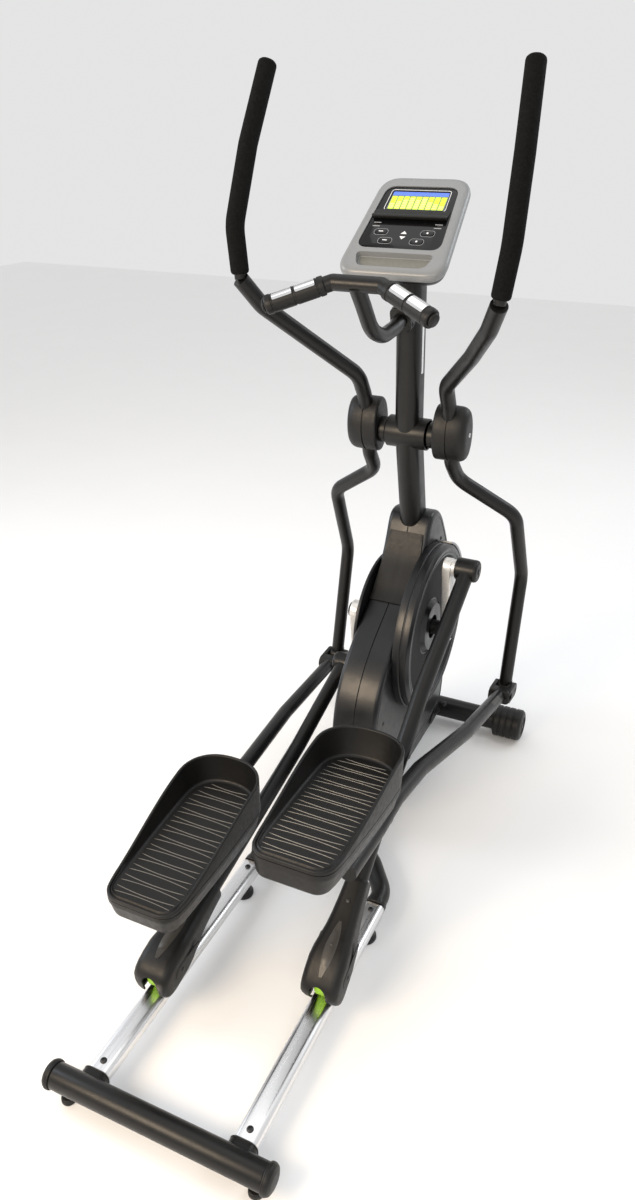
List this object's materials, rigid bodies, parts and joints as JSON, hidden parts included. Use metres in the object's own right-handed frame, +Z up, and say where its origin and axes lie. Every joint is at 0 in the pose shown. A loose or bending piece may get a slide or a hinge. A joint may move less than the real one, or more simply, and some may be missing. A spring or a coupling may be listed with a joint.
{
  "type": "elliptical trainer",
  "caption": "Rear-rail elliptical trainer: mast with console and fixed grips, swing arms, dished pedals on bars, roller links on rails, crank in a shroud.",
  "frame": {"origin": "middle of the footprint on the floor", "axes": "+Z up, +Y from the rider towards the console, +X to the rider's right"},
  "size_m": [0.5906, 1.513, 1.7118],
  "materials": {
    "frame_paint": "satin black paint",
    "rail_metal": "bright satin",
    "crank_paint": "silver paint",
    "black_plastic": "moulded black",
    "shroud_plastic": "satin black",
    "silver_plastic": "silver-grey",
    "foam": "closed-cell foam",
    "gloss_black": "gloss",
    "screen": "lit display",
    "roller": "green urethane",
    "steel": "plated",
    "belt": "ribbed belt"
  },
  "bodies": {
    "frame": {"main_frame": "frame_paint", "front_stabiliser": "frame_paint", "rear_stabiliser": "frame_paint", "rear_end_cap_left": "black_plastic", "rear_end_cap_right": "black_plastic", "rear_foot_left": "black_plastic", "rear_foot_right": "black_plastic", "mid_foot_left": "black_plastic", "mid_foot_right": "black_plastic", "rail_left": "rail_metal", "rail_right": "rail_metal", "rail_screw_left": "steel", "rail_screw_right": "steel", "mast": "frame_paint", "shroud_left": "shroud_plastic", "shroud_right": "shroud_plastic", "side_disc_left": "black_plastic", "side_disc_right": "black_plastic", "side_trim_left": "silver_plastic", "side_trim_right": "silver_plastic", "mast_cover": "black_plastic", "console_bezel": "silver_plastic", "console_panel": "gloss_black", "console_screen": "screen", "console_ledge": "black_plastic", "console_back": "black_plastic", "handlebar": "frame_paint", "pulse_grip_left": "black_plastic", "pulse_grip_right": "black_plastic", "drive_belt": "belt"},
    "crank": {"crank_axle": "steel", "drive_pulley": "black_plastic", "crank_arm_left": "crank_paint", "crank_arm_right": "crank_paint"},
    "flywheel": {"flywheel": "steel"},
    "key_1": {"console_key_1": "gloss_black"},
    "key_2": {"console_key_2": "gloss_black"},
    "key_3": {"console_key_3": "gloss_black"},
    "key_4": {"console_key_4": "gloss_black"},
    "transport_wheel_left": {"transport_wheel_left": "black_plastic"},
    "swing_left": {"swing_arm_left": "frame_paint", "foam_grip_left": "foam", "hub_cover_left": "black_plastic"},
    "pedal_bar_left": {"pedal_arm_left": "frame_paint", "pedal_left": "black_plastic"},
    "link_left": {"roller_link_left": "frame_paint", "carriage_cover_left": "black_plastic"},
    "roller_left": {"roller_left": "roller"},
    "transport_wheel_right": {"transport_wheel_right": "black_plastic"},
    "swing_right": {"swing_arm_right": "frame_paint", "foam_grip_right": "foam", "hub_cover_right": "black_plastic"},
    "pedal_bar_right": {"pedal_arm_right": "frame_paint", "pedal_right": "black_plastic"},
    "link_right": {"roller_link_right": "frame_paint", "carriage_cover_right": "black_plastic"},
    "roller_right": {"roller_right": "roller"}
  },
  "joints": [
    {"name": "crank_spin", "type": "hinge", "parent": "frame", "child": "crank", "pos_m": [0, 0.433, 0.476], "axis": [1, 0, 0], "continuous": true},
    {"name": "flywheel_spin", "type": "hinge", "parent": "frame", "child": "flywheel", "pos_m": [0, 0.346, 0.232], "axis": [1, 0, 0], "continuous": true},
    {"name": "swing_right_turn", "type": "hinge", "parent": "frame", "child": "swing_right", "pos_m": [0.1, 0.436, 0.97], "axis": [1, 0, 0], "range_deg": [-12, 12]},
    {"name": "pedal_bar_right_turn", "type": "hinge", "parent": "swing_right", "child": "pedal_bar_right", "pos_m": [0.246, 0.60428, 0.23286], "axis": [1, 0, 0], "range_deg": [-10.08, 10.08]},
    {"name": "link_right_turn", "type": "hinge", "parent": "pedal_bar_right", "child": "link_right", "pos_m": [0.156, -0.12701, 0.34579], "axis": [1, 0, 0], "range_deg": [-1.11, 1.11]},
    {"name": "roller_right_spin", "type": "hinge", "parent": "link_right", "child": "roller_right", "pos_m": [0.156, -0.35607, 0.0948], "axis": [1, 0, 0], "continuous": true},
    {"name": "transport_wheel_right_spin", "type": "hinge", "parent": "frame", "child": "transport_wheel_right", "pos_m": [0.2465, 0.711, 0.046], "axis": [1, 0, 0], "continuous": true},
    {"name": "swing_left_turn", "type": "hinge", "parent": "frame", "child": "swing_left", "pos_m": [-0.1, 0.436, 0.97], "axis": [1, 0, 0], "range_deg": [-12.2, 12.2]},
    {"name": "pedal_bar_left_turn", "type": "hinge", "parent": "swing_left", "child": "pedal_bar_left", "pos_m": [-0.246, 0.57949, 0.22764], "axis": [1, 0, 0], "range_deg": [-10.62, 10.62]},
    {"name": "link_left_turn", "type": "hinge", "parent": "pedal_bar_left", "child": "link_left", "pos_m": [-0.156, -0.1608, 0.22596], "axis": [1, 0, 0], "range_deg": [-0.73, 0.73]},
    {"name": "roller_left_spin", "type": "hinge", "parent": "link_left", "child": "roller_left", "pos_m": [-0.156, -0.47426, 0.0948], "axis": [1, 0, 0], "continuous": true},
    {"name": "transport_wheel_left_spin", "type": "hinge", "parent": "frame", "child": "transport_wheel_left", "pos_m": [-0.2465, 0.711, 0.046], "axis": [1, 0, 0], "continuous": true},
    {"name": "key_1_press", "type": "slide", "parent": "frame", "child": "key_1", "axis": [0, 0.5878, -0.809], "range_m": [0, 0.0006], "stiffness_N_per_m": 300},
    {"name": "key_2_press", "type": "slide", "parent": "frame", "child": "key_2", "axis": [0, 0.5878, -0.809], "range_m": [0, 0.0006], "stiffness_N_per_m": 300},
    {"name": "key_3_press", "type": "slide", "parent": "frame", "child": "key_3", "axis": [0, 0.5878, -0.809], "range_m": [0, 0.0006], "stiffness_N_per_m": 300},
    {"name": "key_4_press", "type": "slide", "parent": "frame", "child": "key_4", "axis": [0, 0.5878, -0.809], "range_m": [0, 0.0006], "stiffness_N_per_m": 300}
  ],
  "couplings": [
    {"joint": "flywheel_spin", "follows": "crank_spin", "ratio": 5},
    {"joint": "pedal_bar_right_turn", "follows": "swing_right_turn", "ratio": -0.8071},
    {"joint": "link_right_turn", "follows": "swing_right_turn", "ratio": -0.07408},
    {"joint": "roller_right_spin", "follows": "swing_right_turn", "ratio": -21.718},
    {"joint": "pedal_bar_left_turn", "follows": "swing_right_turn", "ratio": 0.85094},
    {"joint": "link_left_turn", "follows": "swing_right_turn", "ratio": 0.04331},
    {"joint": "roller_left_spin", "follows": "swing_right_turn", "ratio": 22.033},
    {"joint": "swing_left_turn", "follows": "swing_right_turn", "ratio": -1}
  ]
}
